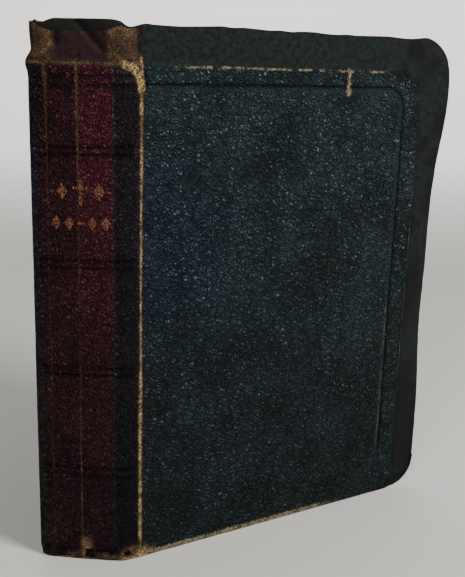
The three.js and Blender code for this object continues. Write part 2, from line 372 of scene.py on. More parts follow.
def case_fields(s, z):
    """Height above the plain leather, and the masks that colour it, over the outside of the case."""
    at = Leather(s, z)
    wear = np.maximum.reduce(fold_wear(at) + head_wear(at) + cover_wear(at) + tail_wear(at))
    wear = np.clip(wear * (0.72 + 0.56 * at.ragged), 0, 1)

    # Where the grain is pressed flat: the tooling, the overhang and the spine's flange.
    tooled = at.on_cover * smooth(13, 25, z)
    fillet_line = line(at.tooled_frame, FILLET, 0.55) * tooled
    fillet_band = band(at.tooled_frame, FILLET + 0.4, FILLET + 2.4, 0.25) * tooled
    stamped = stamped_row(at.x, z) * at.front
    dip = 0.10 * (s + 2) * (0.3 - 0.004 * z)
    rules = sum(line(z + dip, level, 0.5) for level in TOOLED_RULES)
    rules = rules * band(s, BACK_JOINT_S + 4, FRONT_JOINT_S - 3, 1.0)
    spine_flange = smooth(SPINE_TOP - 0.5, SPINE_TOP + 1.5, z) * (1 - smooth(2, 4, at.x))
    flat = np.maximum.reduce([
        0.9 * at.flange, 0.72 * fillet_band, rules, 0.9 * spine_flange, 0.8 * stamped, wear])

    # Height in millimetres.
    hole = line(at.distance(HOLE_S, HOLE_Z, 1 / 1.2), 0, 1.2)
    height = 0.10 * (layered_noise(s, z, 3.0, 15) - 0.5) * (1 - np.clip(flat, 0, 1))
    height += 0.30 * (layered_noise(s, z, 22, 21) - 0.5) * (0.4 + 0.6 * at.on_cover)
    height -= 0.95 * at.flange
    height += 0.28 * line(at.board, 0.5, 0.45) * at.on_cover
    height += 0.5 * (layered_noise(s, z, 4.5, 19) - 0.5) * at.flange * smooth(105, 116, at.x)
    height -= 0.34 * fillet_line + 0.07 * line(at.tooled_frame, FILLET + 2.5, 0.4) * tooled
    height -= 0.22 * stamped + 0.55 * rules
    height -= 0.16 * np.clip(at.centre + at.rear, 0, 1)
    height += 0.12 * wear * line(s, FRONT_JOINT_S, 1.2)
    height -= 0.5 * at.torn * smooth(0.5, 0.62, at.ragged)
    height += spine_head_shape(s, z, at.on_spine) + fore_flap_shape(at.x, z)
    height += 0.9 * at.knob - 0.9 * hole
    height -= 0.9 * value_noise(s, z, 4, 41) * smooth(4, 0.5, z) * at.on_spine

    # Places that are black: pressed lines and frayed spots, and painted shade on the shoulder, the
    # fore-edge overhang, cracks and holes.
    # The front shoulder, which turns away from the light, gets painted shade.
    shoulder = 0.7 * band(s, 10.6, FRONT_JOINT_S - 1.2, 0.8) * smooth(178, 174, z)
    # Painted shade on the fore-edge overhang, patchy and deeper towards the foot.
    painted_shade = layered_noise(s, z, 7, 18) + 0.25 * smooth(70, 30, z)
    fore_shade = (0.15 + 0.7 * smooth(0.38, 0.68, painted_shade)) * at.flange * smooth(108, 116, at.x)
    pressed = 1.1 * fillet_line + 1.1 * rules + 0.6 * stamped
    # The crack and the hole are painted black as shade in their gaps.
    crack = band(at.from_tear, 8.9 + at.ragged, 9.7 + 1.6 * at.ragged, 0.3)
    crack *= smooth(FRONT_JOINT_S - 5, FRONT_JOINT_S - 2, s) * band(z, 174, 184, 1.0)
    black_hole = line(at.distance(HOLE_S, HOLE_Z, 1 / 1.2), 0, 1.3)
    frayed = band(z, 1.2, 4.6, 0.5) * smooth(0.46, 0.56, layered_noise(s, z * 0.5, 3.4, 17))
    frayed *= at.on_spine * (1 - smooth(FRONT_JOINT_S - 9, FRONT_JOINT_S - 6, s))
    dark_marks_and_shade = np.maximum.reduce([pressed + shoulder + fore_shade, crack, black_hole, frayed])

    maroon = np.maximum.reduce([
        band(s, MAROON_LOW_S, MAROON_HIGH_S, 0.8) * (1 - 0.75 * smooth(SPINE_TOP - 1, SPINE_TOP + 2, z)),
        # A thin maroon line along the back joint is a painted rim light.
        0.9 * line(s, BACK_JOINT_S + 1.0, 1.6),
        0.4 * band(s, MAROON_HIGH_S, FRONT_JOINT_S - 0.5, 0.5) * smooth(184, 180, z),
    ])
    plain = np.maximum.reduce([at.flange, spine_flange, 0.7 * fillet_band, 0.8 * stamped])
    wear = wear * (1 - 0.9 * np.maximum(black_hole, frayed))
    return height, np.stack([wear, plain, maroon, np.clip(dark_marks_and_shade, 0, 1)], -1)


def stamped_row(x, z):
    """A faint row of blind-stamped lozenges, in place of a title."""
    total = np.zeros(np.shape(x))
    first, spacing, row_z = 19.0, 11.4, 143.8
    for i in range(5):
        reach = 5.0 if i % 2 == 0 else 2.8
        across = np.abs(x - first - spacing * i) / reach
        inside = 1 - (across + np.abs(z - row_z) / (reach * 0.9))
        ring = line(inside, 0.12, 0.12)
        core = smooth(0.45, 0.6, inside)
        total = np.maximum(total, np.maximum(ring, core))
    return total


def spine_head_shape(s, z, on_spine):
    """The head of the spine: a soft swelling at the fold and a crumpled flange above it."""
    above = z - SPINE_TOP
    swell = 0.9 * line(above, -0.5, 2.4)
    lean = -1.5 * smooth(0.5, 5, above)
    crumple = 1.5 * (layered_noise(s, z, 6.5, 51) - 0.5) * smooth(0.5, 4, above)
    fold_line = s - (-1.0 + 1.02 * (TOP_Z - 2 - z))
    fold = -1.1 * line(fold_line, 0, 1.4) * smooth(0, 1.5, above)
    dent = -1.3 * line(np.hypot((s + 9.6) / 1.6, (z - 188.5) / 1.7), 0, 1.0)
    flare = 0.9 * line(s, BACK_JOINT_S + 2, 4) * smooth(2, 12, above)
    return (swell + lean + crumple + fold + dent + flare) * on_spine


def fore_flap_shape(x, z):
    """The fore-edge flap curls in towards the pages, more at mid height, with a slack wave."""
    out = np.clip((x - FLAP_FOLD) / (COVER_END - FLAP_FOLD), 0, 1.2)
    curl = 0.5 + 2.0 * np.sin(math.pi * np.clip(z / TOP_Z, 0, 1)) ** 2
    wave = 0.9 * bumps(0, z, 34, 61)
    crease = -0.35 * line(x, FLAP_FOLD, 0.8)
    above = np.clip((z - BOARD_TOP) / (TOP_Z - BOARD_TOP), 0, 1)
    ripple = 0.8 * bumps(x, 0, 30, 62) * above * smooth(0, 10, x)
    return -(curl - wave) * out ** 1.6 + crease * smooth(100, 120, x) + ripple


def widened(s, z):
    """Leather coordinates with the front flap let out where it flares near the head."""
    out = np.clip((s - FRONT_JOINT_S - FLAP_FOLD) / (COVER_END - FLAP_FOLD), 0, 1)
    return s + out * (3.9 * line(z, 172, 26) + 1.0 * line(z, 30, 30))


def place(s, q, lift, inset=0.0):
    """Point and outward normal for leather coordinates, lifted outwards from the plain surface."""
    x, y, nx, ny = plan_point(s)
    turn = np.clip(q / TAIL_FOLD, 0, math.pi / 2)
    inward = np.where(q < 0, TAIL_FOLD - q, TAIL_FOLD * (1 - np.sin(turn)))
    z = np.where(q < FOLD_ARC, TAIL_FOLD * (1 - np.cos(turn)), TAIL_FOLD + q - FOLD_ARC)
    side, down = np.sin(turn), -np.cos(turn)
    normal = np.stack([nx * side, ny * side, down], -1)
    base = np.stack([x - nx * inward, y - ny * inward, z], -1)
    return base + normal * (lift - inset)[..., None], normal


# ---- Mesh building ----

def new_object(name, points, faces, flat_faces=0):
    """A mesh object from points in millimetres; its last faces are flat and the others smooth."""
    mesh = bpy.data.meshes.new(name)
    mesh.from_pydata((points.reshape(-1, 3) * MM).tolist(), [], faces)
    smooth_faces = np.ones(len(faces), bool)
    smooth_faces[len(faces) - flat_faces:] = False
    mesh.polygons.foreach_set("use_smooth", smooth_faces)
    obj = bpy.data.objects.new(name, mesh)
    bpy.context.collection.objects.link(obj)
    return obj


def corner_points(mesh):
    """The index of the point at each corner of each face."""
    corners = np.zeros(len(mesh.loops), np.int32)
    mesh.loops.foreach_get("vertex_index", corners)
    return corners


def add_uv(mesh, corner_uv):
    layer = mesh.uv_layers.new(name="leather")
    layer.data.foreach_set("uv", corner_uv.astype(np.float32).ravel())
    mesh.update()


def sharpen(mesh, on_rim):
    """Marks the edges whose two ends are both on the rim as sharp."""
    ends = np.zeros(len(mesh.edges) * 2, np.int32)
    mesh.edges.foreach_get("vertices", ends)
    ends = ends.reshape(-1, 2)
    mesh.attributes.new("sharp_edge", "BOOLEAN", "EDGE")
    mesh.attributes["sharp_edge"].data.foreach_set("value", on_rim[ends[:, 0]] & on_rim[ends[:, 1]])


def add_marks(obj, values):
    """Stores the masks for each point of a sheet's grid, the same on its inner side."""
    layer = obj.data.color_attributes.new("marks", "FLOAT_COLOR", "POINT")
    both_sides = np.concatenate([values.reshape(-1, 4)] * 2).astype(np.float32)
    layer.data.foreach_set("color", both_sides.ravel())


def closed_sheet(name, outer, normal, thickness, uv, material):
    """A closed sheet from a grid of outer points: the same grid again inside, and a rim."""
    rows, columns = outer.shape[:2]
    inner = outer - normal * np.broadcast_to(thickness, outer.shape[:2])[..., None]
    count = rows * columns
    index = np.arange(count).reshape(rows, columns)
    a, b = index[:-1, :-1].ravel(), index[:-1, 1:].ravel()
    c, d = index[1:, 1:].ravel(), index[1:, :-1].ravel()
    ring = np.concatenate([index[0, :-1], index[:-1, -1], index[-1, :0:-1], index[:0:-1, 0]])
    after = np.roll(ring, -1)
    faces = np.concatenate([
        np.stack([a, b, c, d], 1),
        np.stack([d, c, b, a], 1) + count,
        np.stack([ring, ring + count, after + count, after], 1),
    ])
    obj = new_object(name, np.stack([outer, inner]), faces.tolist())
    on_rim = np.zeros(2 * count, bool)
    on_rim[np.concatenate([ring, ring + count])] = True
    sharpen(obj.data, on_rim)
    both_sides = np.concatenate([uv.reshape(-1, 2)] * 2)
    add_uv(obj.data, both_sides[corner_points(obj.data)])
    obj.data.materials.append(material)
    return obj


def spread(low, high, pitch, least=2):
    return np.linspace(low, high, max(least, int(round((high - low) / pitch)) + 1))


def columns(s_low, s_high):
    """Columns of mesh points, closer together near the folds and creases."""
    fine = spread(s_low, s_high, 0.05)
    nearest = np.full(fine.shape, 99.0)
    for fold in (FRONT_JOINT_S, BACK_JOINT_S, CENTRE_S, REAR_S):
        nearest = np.minimum(nearest, np.abs(fine - fold))
    density = 1 / (MESH_PITCH * (0.35 + 0.65 * smooth(1.2, 4.0, nearest)))
    count = np.concatenate([[0], np.cumsum((density[1:] + density[:-1]) / 2 * np.diff(fine))])
    return np.interp(np.linspace(0, count[-1], int(count[-1]) + 2), count, fine)


def leather_rows(s):
    """q for every row of the case leather: tail flap, tail fold, then the upright wall."""
    depth = flap_depth(s)
    top_q = top_edge(s) - TAIL_FOLD + FOLD_ARC
    flap = [depth * f for f in np.linspace(-1, 0, 9)]
    fold = [np.full(s.shape, FOLD_ARC * f) for f in np.linspace(0, 1, 6)[1:]]
    wall = [FOLD_ARC + (top_q - FOLD_ARC) * f for f in spread(0, TOP_Z, MESH_PITCH)[1:] / TOP_Z]
    return np.array(flap + fold + wall)


def case_piece(name, s_low, s_high, material):
    """The case leather between two lines up the sheet, with its tail flap folded under."""
    s = columns(s_low, s_high)
    q = leather_rows(s)
    s = np.broadcast_to(s, q.shape)
    plain, _ = place(s, q, np.zeros(q.shape))
    z = plain[..., 2]
    lift, masks = case_fields(s, z)
    under = smooth(0.0, FOLD_ARC, q)
    lift = np.where(q < FOLD_ARC, np.minimum(lift, 0) * under, lift)
    points, normal = place(widened(s, z), q, lift)
    rise = bottom_edge(s) * (1 - np.clip(z / (TOP_Z * 0.5), 0, 1))
    points[..., 2] = np.maximum(points[..., 2] + rise, 0.02)
    uv = np.stack([s, np.where(q < FOLD_ARC, q - FOLD_ARC + TAIL_FOLD, z)], -1) / UV_SPAN + 0.5
    masks[..., 0] *= smooth(-1.0, 1.0, q)
    obj = closed_sheet(name, points, normal, LEATHER, uv, material)
    add_marks(obj, masks)
    return obj


# ---- Shaders ----

class Shader:
    """A small helper that builds a node material one call per node."""

    def __init__(self, name):
        self.material = bpy.data.materials.new(name)
        self.material.use_nodes = True
        self.tree = self.material.node_tree
        self.surface = self.tree.nodes["Principled BSDF"]

    def node(self, kind, inputs=(), output=0, **settings):
        made = self.tree.nodes.new(kind)
        for key, value in settings.items():
            setattr(made, key, value)
        for key, value in dict(inputs).items():
            self.put(made.inputs[key], value)
        return made.outputs[output]

    def put(self, socket, value):
        if isinstance(value, bpy.types.NodeSocket):
            self.tree.links.new(value, socket)
        else:
            socket.default_value = value

    def math(self, operation, first, second=0.0, third=None):
        inputs = {0: first, 1: second}
        if third is not None:
            inputs[2] = third
        return self.node("ShaderNodeMath", inputs, operation=operation)

    def times(self, first, second):
        return self.math("MULTIPLY", first, second)

    def minus(self, first, second):
        return self.math("SUBTRACT", first, second)

    def times_plus(self, first, second, added):
        return self.math("MULTIPLY_ADD", first, second, added)

    def ramp(self, value, low, high, to_low=0.0, to_high=1.0):
        inputs = {"Value": value, "From Min": low, "From Max": high, "To Min": to_low, "To Max": to_high}
        return self.node("ShaderNodeMapRange", inputs, interpolation_type="SMOOTHSTEP")

    def mix(self, factor, first, second):
        made = self.tree.nodes.new("ShaderNodeMix")
        made.data_type = "RGBA"
        self.put(made.inputs[0], factor)
        self.put(made.inputs[6], first)
        self.put(made.inputs[7], second)
        return made.outputs[2]

    def blend(self, factor, first, second):
        made = self.tree.nodes.new("ShaderNodeMix")
        self.put(made.inputs[0], factor)
        self.put(made.inputs[2], first)
        self.put(made.inputs[3], second)
        return made.outputs[0]

    def noise(self, vector, scale, detail=3.0, roughness=0.55):
        inputs = {"Vector": vector, "Scale": scale, "Detail": detail, "Roughness": roughness}
        return self.node("ShaderNodeTexNoise", inputs)

    def scaled(self, vector, x, y, z=1.0):
        return self.node("ShaderNodeVectorMath", {0: vector, 1: (x, y, z)}, operation="MULTIPLY")

    def moved(self, vector, x, y, z=0.0):
        return self.node("ShaderNodeVectorMath", {0: vector, 1: (x, y, z)}, operation="ADD")

    def leather_mm(self):
        """Leather coordinates in millimetres."""
        uv = self.node("ShaderNodeUVMap", uv_map="leather")
        return self.scaled(uv, UV_SPAN, UV_SPAN, 0.0)

    def object_mm(self):
        return self.scaled(self.node("ShaderNodeTexCoord", output=3), TO_MM, TO_MM, TO_MM)

    def finish(self, colour, roughness, height=None, distance=0.0001, strength=1.0):
        self.put(self.surface.inputs["Base Color"], colour)
        self.put(self.surface.inputs["Roughness"], roughness)
        if height is not None:
            inputs = {"Height": height, "Distance": distance, "Strength": strength}
            bump = self.node("ShaderNodeBump", inputs)
            self.put(self.surface.inputs["Normal"], bump)
        return self.material


def srgb(red, green, blue):
    def linear(value):
        value /= 255
        return value / 12.92 if value <= 0.04045 else ((value + 0.055) / 1.055) ** 2.4
    return (linear(red), linear(green), linear(blue), 1.0)


PEBBLES_PER_MM = 0.92
COVER_DEEP = srgb(31, 44, 46)
COVER_LIGHT = srgb(51, 67, 71)
# The next colour is a painted highlight for the cover's pebbles.
COVER_HIGHLIGHT = srgb(112, 128, 134)
FLANGE_DEEP = srgb(3, 5, 5)
FLANGE_TONE = srgb(20, 29, 28)
MAROON_DEEP = srgb(53, 17, 26)
MAROON_LIGHT = srgb(76, 29, 41)
# The next colour is a painted sheen of light on the spine.
MAROON_SHEEN = srgb(98, 36, 55)
# The next colour is a painted highlight for the spine's pebbles.
MAROON_HIGHLIGHT = srgb(98, 56, 68)
# The next colour is a near black, used both for painted shade and for black marks.
BLACK_AND_SHADE = srgb(1, 2, 2)
# The next colour is a painted sheen of light on the front cover.
BLUE_SHEEN = srgb(38, 54, 78)
GILT = srgb(140, 92, 66)
RUBBED_LEATHER = srgb(68, 50, 38)
CLOTH_SHADE, CLOTH, CLOTH_BRIGHT = srgb(58, 46, 33), srgb(158, 134, 94), srgb(196, 164, 112)
KHAKI_SHADE, KHAKI = srgb(58, 54, 42), srgb(146, 134, 106)


def lozenge(shader, u, v, centre_u, centre_v, reach_u, reach_v):
    """1 inside a lozenge of the given half diagonals, 0 outside."""
    du = shader.math("DIVIDE", shader.math("ABSOLUTE", shader.minus(u, centre_u)), reach_u)
    dv = shader.math("DIVIDE", shader.math("ABSOLUTE", shader.minus(v, centre_v)), reach_v)
    return shader.ramp(shader.math("ADD", du, dv), 1.08, 0.92)


def bar(shader, u, v, centre_u, centre_v, half_u, half_v):
    """1 inside a rectangle of the given half sides, 0 outside."""
    du = shader.minus(shader.math("ABSOLUTE", shader.minus(u, centre_u)), half_u)
    dv = shader.minus(shader.math("ABSOLUTE", shader.minus(v, centre_v)), half_v)
    return shader.ramp(shader.math("MAXIMUM", du, dv), 0.12, -0.12)


def gilt_ornament(shader, u, v):
    """A plain cross between lozenges over a row of lozenges and rules, centred on the spine."""
    middle = -1.0
    shapes = [
        bar(shader, u, v, middle, 139.0, 0.55, 4.4),
        bar(shader, u, v, middle, 140.6, 2.7, 0.5),
        bar(shader, u, v, middle, 128.6, 1.3, 0.4),
    ]
    for side in (-1, 1):
        shapes.append(lozenge(shader, u, v, middle + side * 6.4, 139.4, 1.9, 2.9))
        shapes.append(lozenge(shader, u, v, middle + side * 4.0, 128.6, 1.7, 2.5))
        shapes.append(lozenge(shader, u, v, middle + side * 8.6, 128.6, 1.7, 2.5))
        shapes.append(bar(shader, u, v, middle + side * 9.8, 139.4, 0.8, 0.35))
    total = shapes[0]
    for shape in shapes[1:]:
        total = shader.math("MAXIMUM", total, shape)
    return total


def voronoi(shader, vector, scale, output=0, **settings):
    return shader.node("ShaderNodeTexVoronoi", {"Vector": vector, "Scale": scale}, output, **settings)


def leather_grain(shader, place_mm):
    """Pebbled grain: the pebbles' domes, a tone for each, the creases round them, and a painted
    highlight on one side of each.
    """
    drift_inputs = {"Vector": place_mm, "Scale": 0.4, "Detail": 1.0}
    drift = shader.node("ShaderNodeTexNoise", drift_inputs, output=1)
    drift = shader.moved(drift, -0.5, -0.5, -0.5)
    warp_inputs = {0: place_mm, 1: shader.scaled(drift, 1.8, 1.8, 0.0)}
    warped = shader.node("ShaderNodeVectorMath", warp_inputs, operation="ADD")
    edge = voronoi(shader, warped, PEBBLES_PER_MM, feature="DISTANCE_TO_EDGE")
    tone = shader.node("ShaderNodeSeparateColor", {"Color": voronoi(shader, warped, PEBBLES_PER_MM, 1)})
    slanted = shader.node("ShaderNodeMapping", {
        "Vector": warped, "Rotation": (0.0, 0.0, math.radians(24)), "Scale": (0.22, 0.42, 1.0)})
    wrinkle = shader.ramp(voronoi(shader, slanted, 1.0, feature="DISTANCE_TO_EDGE"), 0.15, 0.0)
    dome = shader.ramp(edge, 0.0, 0.36)
    crease = shader.math("MAXIMUM", shader.ramp(edge, 0.14, 0.0), wrinkle)
    # A painted highlight lights the upper-left side of each pebble.
    toward_light = shader.moved(warped, 0.34, -0.34)
    off_edge = voronoi(shader, toward_light, PEBBLES_PER_MM, feature="DISTANCE_TO_EDGE")
    lit_side = shader.times(shader.ramp(off_edge, 0.05, 0.4), shader.times_plus(dome, 0.7, 0.3))
    return dome, tone, crease, lit_side


def cloth_threads(shader, place_mm):
    """Crosswise stitches, and ribs that run up."""
    stitches = shader.noise(shader.scaled(place_mm, 1.0, 2.8), 1.0, 2.0)
    ribs = shader.noise(shader.scaled(place_mm, 2.8, 1.0), 1.0, 2.0)
    return shader.math("MAXIMUM", stitches, ribs)


def leather_dye_and_sheen(shader, place_mm, along, up, flange, maroon):
    """Blue-green covers with smooth, nearly black flanges, and a maroon spine, with a painted sheen on
    the cover and on the spine.
    """
    patches = shader.ramp(shader.noise(place_mm, 0.045, 4.0, 0.6), 0.35, 0.65)
    cover = shader.mix(patches, COVER_DEEP, COVER_LIGHT)
    # Near the front joint, about half way up, a bluer tint is painted on as a sheen of light.
    near_joint = shader.ramp(along, FRONT_JOINT_S + 75, FRONT_JOINT_S + 8)
    half_way = shader.times(shader.ramp(up, 60, 105), shader.ramp(up, 178, 130))
    blue_sheen_share = shader.times(near_joint, half_way)
    cover = shader.mix(shader.times(blue_sheen_share, 0.45), cover, BLUE_SHEEN)
    mottle = shader.ramp(shader.noise(place_mm, 0.5, 6.0, 0.75), 0.38, 0.62)
    cover = shader.mix(flange, cover, shader.mix(mottle, FLANGE_DEEP, FLANGE_TONE))
    # In front of its centre crease, towards the head, the spine gets a painted sheen of brighter maroon.
    red = shader.mix(patches, MAROON_DEEP, MAROON_LIGHT)
    front_of_crease = shader.ramp(along, CENTRE_S - 0.5, CENTRE_S + 0.5)
    maroon_sheen_share = shader.times(front_of_crease, shader.ramp(up, 40.0, 160.0))
    maroon_sheen_share = shader.times(maroon_sheen_share, shader.minus(1.0, flange))
    red = shader.mix(shader.times(maroon_sheen_share, 0.8), red, MAROON_SHEEN)
    return shader.mix(maroon, cover, red)


def worn_to_cloth(shader, base, along, wear_in, wear, threads):
    """Where wear goes through: rubbed leather first, then cloth, and paler threads at the worst."""
    cloth = shader.mix(shader.ramp(threads, 0.45, 0.72), CLOTH_SHADE, CLOTH)
    deep = shader.mix(shader.ramp(wear_in, 0.35, 0.95), RUBBED_LEATHER, cloth)
    khaki = shader.mix(shader.ramp(threads, 0.42, 0.66), KHAKI_SHADE, KHAKI)
    on_board = shader.ramp(along, FRONT_JOINT_S + 2.5, FRONT_JOINT_S + 7.0)
    base = shader.mix(wear, base, shader.mix(on_board, deep, khaki))
    bright = shader.times(shader.ramp(wear_in, 0.72, 1.0), shader.ramp(threads, 0.5, 0.66))
    return shader.mix(bright, base, CLOTH_BRIGHT)


def case_leather():
    shader = Shader("case_leather")
    place_mm = shader.leather_mm()
    marks = shader.node("ShaderNodeVertexColor", layer_name="marks")
    wear_in, flange, maroon = shader.node("ShaderNodeSeparateColor", {"Color": marks}).node.outputs
    dark_marks_and_shade = marks.node.outputs["Alpha"]
    centred = shader.moved(place_mm, -UV_SPAN / 2, -UV_SPAN / 2)
    along, up, _ = shader.node("ShaderNodeSeparateXYZ", {0: centred}).node.outputs

    speckle = shader.noise(place_mm, 3.2, 3.0, 0.7)
    uneven = shader.ramp(shader.noise(place_mm, 0.14, 3.0, 0.6), 0.36, 0.64)
    grained = shader.minus(1.0, flange)
    pebble, tone, crease, lit_side = leather_grain(shader, place_mm)

    # Worn leather breaks up into the threads of the cloth beneath.
    threads = cloth_threads(shader, place_mm)
    broken = shader.times_plus(shader.minus(threads, 0.58), 0.9, wear_in)
    wear = shader.ramp(broken, 0.22, 0.62)

    # Painted shade darkens the lower half, and the painted highlights fade towards the foot.
    upper_light = shader.ramp(up, -30.0, 180.0, 0.42, 1.0)
    base = leather_dye_and_sheen(shader, place_mm, along, up, flange, maroon)
    # Painted highlights: a pale glint colour on the lit side of the pebbles, fading towards the foot.
    glint = shader.mix(maroon, COVER_HIGHLIGHT, MAROON_HIGHLIGHT)
    highlight_share = shader.times(shader.times_plus(tone, 0.3, 0.7), lit_side)
    highlight_share = shader.times(highlight_share, shader.times_plus(uneven, 0.35, 0.5))
    highlight_share = shader.times(highlight_share, upper_light)
    painted_shade = shader.times(shader.minus(1.0, upper_light), grained)
    base = shader.mix(shader.times(painted_shade, 0.95), base, BLACK_AND_SHADE)
    base = shader.mix(shader.times(highlight_share, grained), base, glint)
    # Painted shade darkens the grain's creases.
    base = shader.mix(shader.times(crease, shader.times(grained, 0.78)), base, BLACK_AND_SHADE)
    base = shader.mix(shader.times(shader.ramp(speckle, 0.55, 0.3), 0.5), base, BLACK_AND_SHADE)
    # Black tooled lines and frayed spots, and painted shade on the shoulder, the fore-edge overhang, the
    # crack and the hole.
    base = shader.mix(shader.times(dark_marks_and_shade, 0.95), base, BLACK_AND_SHADE)

    rubbed = shader.ramp(shader.noise(place_mm, 1.3, 4.0, 0.7), 0.40, 0.55)
    gilt = shader.times(gilt_ornament(shader, along, up), rubbed)
    base = shader.mix(shader.times(gilt, 0.9), base, GILT)
    base = worn_to_cloth(shader, base, along, wear_in, wear, threads)

    unworn = shader.minus(1.0, shader.times(wear, 0.85))
    relief = shader.minus(shader.times_plus(tone, 0.4, pebble), shader.times(crease, 0.8))
    relief = shader.times(shader.times(relief, grained), unworn)
    height = shader.times_plus(speckle, 0.25, relief)
    height = shader.times_plus(shader.times(threads, wear), 1.5, height)
    rough = shader.blend(crease, 0.36, 0.8)
    rough = shader.blend(flange, rough, 0.55)
    rough = shader.blend(wear, rough, 0.9)
    shader.put(shader.surface.inputs["Specular IOR Level"], 0.09)
    return shader.finish(base, rough, height, 0.0011, 1.0)


def lining_leather():
    shader = Shader("lining_leather")
    place_mm = shader.leather_mm()
    pores = shader.ramp(voronoi(shader, place_mm, 1.3, feature="DISTANCE_TO_EDGE"), 0.0, 0.2)
    patches = shader.noise(place_mm, 0.06, 4.0, 0.6)
    speckle = shader.noise(place_mm, 2.5, 4.0, 0.7)
    base = shader.mix(shader.ramp(patches, 0.35, 0.65), srgb(6, 9, 7), srgb(14, 19, 15))
    base = shader.mix(shader.times(shader.ramp(speckle, 0.6, 0.35), 0.4), base, srgb(10, 12, 9))
    height = shader.times_plus(speckle, 0.5, pores)
    shader.put(shader.surface.inputs["Specular IOR Level"], 0.15)
    return shader.finish(base, shader.ramp(speckle, 0.3, 0.7, 0.45, 0.65), height, 0.00008, 0.7)


def aged_paper(name, light, brown):
    shader = Shader(name)
    place_mm = shader.object_mm()
    fibres = shader.noise(place_mm, 1.8, 5.0, 0.7)
    stains = shader.noise(place_mm, 0.03, 4.0, 0.6)
    fox = shader.ramp(shader.noise(place_mm, 0.22, 2.0, 0.5), 0.66, 0.74)
    base = shader.mix(shader.ramp(stains, 0.35, 0.7), light, brown)
    base = shader.mix(shader.times(fox, 0.45), base, srgb(128, 88, 48))
    base = shader.mix(shader.times(fibres, 0.12), base, srgb(120, 96, 62))
    return shader.finish(base, shader.ramp(fibres, 0.2, 0.8, 0.8, 0.95), fibres, 0.00005, 0.6)


def page_edges():
    """Leaf edges: thin lines across the block's thickness under worn gilding over red."""
    shader = Shader("page_edges")
    place_mm = shader.object_mm()
    leaves = shader.noise(shader.scaled(place_mm, 0.05, 14.0, 0.05), 1.0, 3.0, 0.6)
    coarse = shader.noise(shader.scaled(place_mm, 0.03, 2.6, 0.03), 1.0, 2.0, 0.5)
    rubbed = shader.noise(place_mm, 0.09, 4.0, 0.65)
    gold = shader.mix(shader.ramp(leaves, 0.3, 0.7), srgb(120, 84, 42), srgb(196, 158, 92))
    red = shader.mix(shader.ramp(leaves, 0.3, 0.7), srgb(84, 50, 32), srgb(146, 104, 70))
    base = shader.mix(shader.ramp(rubbed, 0.50, 0.66), gold, red)
    base = shader.mix(shader.times(shader.ramp(coarse, 0.55, 0.3), 0.55), base, srgb(58, 34, 20))
    height = shader.times_plus(coarse, 0.8, leaves)
    metal = shader.times(shader.ramp(rubbed, 0.56, 0.44), 0.55)
    shader.put(shader.surface.inputs["Metallic"], metal)
    return shader.finish(base, shader.ramp(leaves, 0.3, 0.7, 0.34, 0.55), height, 0.00012, 0.8)


def woven_cloth(name, light, deep, pitch):
    shader = Shader(name)
    place_mm = shader.object_mm()
    up = shader.noise(shader.scaled(place_mm, 1.0 / pitch, 6.0, 0.4), 1.0, 2.0)
    across = shader.noise(shader.scaled(place_mm, 0.4, 0.5, 6.0), 1.0, 2.0)
    weave = shader.math("MAXIMUM", up, across)
    base = shader.mix(shader.ramp(weave, 0.45, 0.7), deep, light)
    return shader.finish(base, 0.92, weave, 0.0002, 0.8)


def millboard():
    shader = Shader("millboard")
    place_mm = shader.object_mm()
    fibres = shader.noise(shader.scaled(place_mm, 0.6, 3.0, 0.6), 1.0, 5.0, 0.7)
    base = shader.mix(shader.ramp(fibres, 0.35, 0.7), srgb(96, 80, 58), srgb(146, 126, 94))
    return shader.finish(base, 0.9, fibres, 0.0002, 0.7)


def band_silk():
    shader = Shader("band_silk")
    uv = shader.node("ShaderNodeUVMap", uv_map="leather")
    wave = shader.node("ShaderNodeTexWave", {
        "Vector": shader.scaled(uv, UV_SPAN, UV_SPAN, 0.0), "Scale": 0.16, "Distortion": 0.4},
        bands_direction="DIAGONAL", output=0)
    stripe = shader.ramp(wave, 0.45, 0.55)
    worn = shader.noise(shader.object_mm(), 1.4, 4.0, 0.7)
    base = shader.mix(stripe, srgb(120, 34, 30), srgb(196, 178, 138))
    base = shader.mix(shader.times(worn, 0.5), base, srgb(88, 60, 42))
    return shader.finish(base, 0.65, worn, 0.0001, 0.6)


# ---- The outside of the case ----

leather = case_leather()
lining = lining_leather()

PANEL_END = BOARD_EDGE - 7.6          # the seams between leather pieces lie on the tooled band
CENTRE_HALF_S = 10.3
MIDDLE_S = (CENTRE_S + REAR_S) / 2
REAR_HALF_S = -15.8


def bend_at(piece, low_body, high_body, s_fold):
    """Bakes the piece's placement into its mesh; the bodies and the fold are not used."""
    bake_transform(piece)


CASE = (
    ("case_front_fore_edge", FRONT_JOINT_S + PANEL_END, FRONT_JOINT_S + COVER_END,
     ("front_cover", "front_flap", FRONT_JOINT_S + FLAP_FOLD), ("front_flap_leather",)),
    ("case_front_panel", CENTRE_HALF_S, FRONT_JOINT_S + PANEL_END,
     ("front_block", "front_cover", FRONT_JOINT_S), ("front_cover_leather",)),
    ("case_spine_centre", MIDDLE_S, CENTRE_HALF_S,
     ("middle_block", "front_block", CENTRE_S), ("spine_leather_front", "spine_leather_middle")),
    ("case_spine_rear", REAR_HALF_S, MIDDLE_S,
     ("rear_block", "middle_block", REAR_S), ("spine_leather_rear",)),
    ("case_back_panel", BACK_JOINT_S - PANEL_END, REAR_HALF_S,
     ("back_cover", "rear_block", BACK_JOINT_S), ("back_cover_leather",)),
    ("case_back_fore_edge", BACK_JOINT_S - COVER_END, BACK_JOINT_S - PANEL_END,
     ("back_flap", "back_cover", BACK_JOINT_S - FLAP_FOLD), ("back_flap_leather",)),
)

for name, s_low, s_high, (low_body, high_body, fold_s), nodes in CASE:
    piece = case_piece(name, s_low, s_high, leather)
    bend_at(piece, low_body, high_body, fold_s)
    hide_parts(*nodes)


# ---- Linings ----

